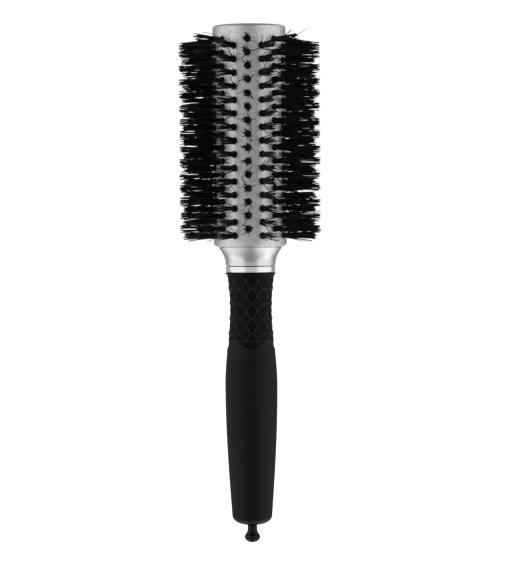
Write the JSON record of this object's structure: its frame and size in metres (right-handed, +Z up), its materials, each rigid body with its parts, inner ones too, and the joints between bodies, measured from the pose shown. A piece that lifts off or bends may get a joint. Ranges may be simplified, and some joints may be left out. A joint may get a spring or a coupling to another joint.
{
  "type": "round barrel brush",
  "caption": "Round thermal hair brush: perforated aluminium barrel with staggered bristle rows, flared ferrule, soft-touch handle and a sectioning pick that slides out of its end.",
  "frame": {"origin": "bottom of the pick's knob, on the brush's axis", "axes": "+Z up the axis from the handle to the barrel, -Y towards the front bristle row, +X to the right of it"},
  "size_m": [0.068, 0.068, 0.2489],
  "materials": {
    "satin_aluminium": "satin, fine bead-blasted and anodised",
    "bright_aluminium": "turned and lightly polished",
    "bristles": "black mixed nylon and boar bristle",
    "grey_plastic": "moulded glass-filled nylon, dark grey",
    "black_plastic": "moulded, semi-gloss black",
    "soft_touch": "matte soft-touch coating over the moulded facets",
    "brass_insert": "machined",
    "steel": "zinc plated",
    "seal_rubber": "matte nitrile rubber"
  },
  "bodies": {
    "brush": {"barrel_tube": "satin_aluminium", "tuft_strip_01": "bristles", "tuft_strip_02": "bristles", "tuft_strip_03": "bristles", "tuft_strip_04": "bristles", "tuft_strip_05": "bristles", "tuft_strip_06": "bristles", "tuft_strip_07": "bristles", "tuft_strip_08": "bristles", "tuft_strip_09": "bristles", "tuft_strip_10": "bristles", "tuft_strip_11": "bristles", "tuft_strip_12": "bristles", "tuft_strip_13": "bristles", "tuft_strip_14": "bristles", "tuft_strip_15": "bristles", "tuft_strip_16": "bristles", "spreader_core": "grey_plastic", "end_plug": "black_plastic", "ferrule": "satin_aluminium", "trim_ring": "bright_aluminium", "barrel_hub": "grey_plastic", "threaded_insert": "brass_insert", "tie_washer": "steel", "tie_screw": "steel", "handle_core": "grey_plastic", "grip_sleeve": "soft_touch", "pick_guide": "black_plastic", "friction_ring": "seal_rubber"},
    "pick": {"pick_rod": "black_plastic", "pick_stop_clip": "steel", "pick_knob": "black_plastic"}
  },
  "joints": [
    {"name": "pick_slide", "type": "slide", "parent": "brush", "child": "pick", "axis": [0, 0, -1], "range_m": [0, 0.06]}
  ]
}
